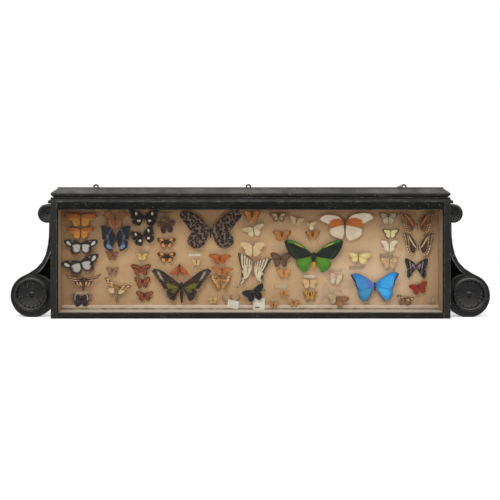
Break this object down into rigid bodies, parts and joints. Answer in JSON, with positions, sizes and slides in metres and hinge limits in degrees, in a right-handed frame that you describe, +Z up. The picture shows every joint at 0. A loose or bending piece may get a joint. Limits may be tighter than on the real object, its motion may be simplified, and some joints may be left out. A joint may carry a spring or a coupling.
{
  "type": "glazed butterfly display case",
  "caption": "Long shallow ebonised display case with a moulded cornice, carved scroll consoles at the ends and pinned butterflies behind one fixed pane of glass.",
  "frame": {"origin": "on the ground, in the middle of the case's bounding box", "axes": "+X along the case to the viewer's right, +Y from the glazed front to the back board, +Z up; the glazed front faces -Y"},
  "size_m": [1.1666, 0.08, 0.3238],
  "materials": {
    "ebonised_wood": "black stained and waxed, worn on the edges",
    "glass": "old clear window glass",
    "lining_paper": "aged buff paper, browned at the edges",
    "bare_board": "unfinished softwood",
    "card": "yellowed card",
    "iron": "oxidised wire",
    "string": "undyed twine",
    "wings_orange": "dry scaled wing",
    "wings_brown": "dry scaled wing",
    "wings_dark": "dry scaled wing",
    "wings_grey": "dry scaled wing",
    "wings_pale": "dry scaled wing",
    "wings_green": "dry scaled wing with a sheen",
    "wings_blue": "dry scaled wing with a sheen",
    "wings_red": "dry scaled wing"
  },
  "bodies": {
    "root": {"frame_stile_left": "ebonised_wood", "frame_stile_right": "ebonised_wood", "frame_rail_bottom": "ebonised_wood", "frame_rail_top": "ebonised_wood", "glass_pane": "glass", "case_side_left": "ebonised_wood", "case_side_right": "ebonised_wood", "case_bottom": "ebonised_wood", "case_top": "ebonised_wood", "back_board": "bare_board", "backing_panel": "lining_paper", "lining_fillet": "lining_paper", "upper_moulding": "ebonised_wood", "cornice": "ebonised_wood", "screw_eye_left": "iron", "screw_eye_middle": "iron", "screw_eye_right": "iron", "console_left": "ebonised_wood", "console_right": "ebonised_wood", "drum_boss_left": "ebonised_wood", "drum_boss_right": "ebonised_wood", "volute_boss_left": "ebonised_wood", "volute_boss_right": "ebonised_wood", "data_card_upright": "card", "data_card_leaning": "card", "longwing_orange_top": "wings_orange", "longwing_orange_second": "wings_orange", "admiral_white_upper": "wings_dark", "admiral_white_lower": "wings_dark", "hawkmoth_striped": "wings_brown", "emperor_purple_white": "wings_dark", "leafwing_russet": "wings_brown", "nymphalid_blue_band": "wings_blue", "tiger_moth_cream": "wings_orange", "eggfly_black_top": "wings_dark", "eggfly_black_turned": "wings_dark", "brown_orange_tips": "wings_dark", "bark_orange_upper": "wings_orange", "bark_orange_lower": "wings_orange", "bush_orange_striped": "wings_orange", "tree_nymph_grey": "wings_grey", "moth_orange_folded": "wings_orange", "birdwing_black_green": "wings_dark", "acraea_orange_upper": "wings_orange", "acraea_orange_lower": "wings_orange", "painted_orange": "wings_orange", "white_slender_moth": "wings_pale", "white_cream": "wings_pale", "swallowtail_zebra": "wings_pale", "brown_purple": "wings_dark", "swallowtail_black_small": "wings_dark", "birdwing_green": "wings_green", "white_orange_band": "wings_pale", "leaf_brown": "wings_brown", "sulphur_pale": "wings_pale", "morpho_blue": "wings_blue", "swordtail_orange_band": "wings_brown", "swordtail_cream_band": "wings_brown", "jay_purple_spot": "wings_dark", "glider_red": "wings_red"}
  },
  "joints": []
}
